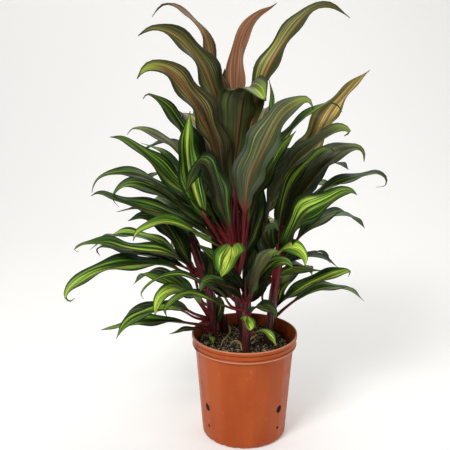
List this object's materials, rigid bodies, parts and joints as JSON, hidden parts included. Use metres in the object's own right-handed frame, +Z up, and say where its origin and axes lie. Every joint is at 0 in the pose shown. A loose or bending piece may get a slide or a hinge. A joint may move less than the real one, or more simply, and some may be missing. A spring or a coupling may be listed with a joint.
{
  "type": "potted plant",
  "caption": "Bushy ti plant with streaked green, lime and bronze leaves on dark red stalks, in an orange plastic nursery pot filled with dark soil.",
  "frame": {"origin": "Centre of the pot's underside, on the standing surface.", "axes": "Z up, the front of the picture is -Y, X to the right."},
  "size_m": [0.7539, 0.6542, 1.0269],
  "materials": {
    "pot_plastic": "satin moulded",
    "potting_soil": "matt and crumbly",
    "foliage": "leathery, softly glossy"
  },
  "bodies": {
    "root": {"pot": "pot_plastic", "soil": "potting_soil", "cane_main": "foliage", "cane_front": "foliage", "cane_left": "foliage", "cane_left_tall": "foliage", "cane_right": "foliage", "cane_right_tall": "foliage", "cane_back": "foliage"}
  },
  "joints": []
}
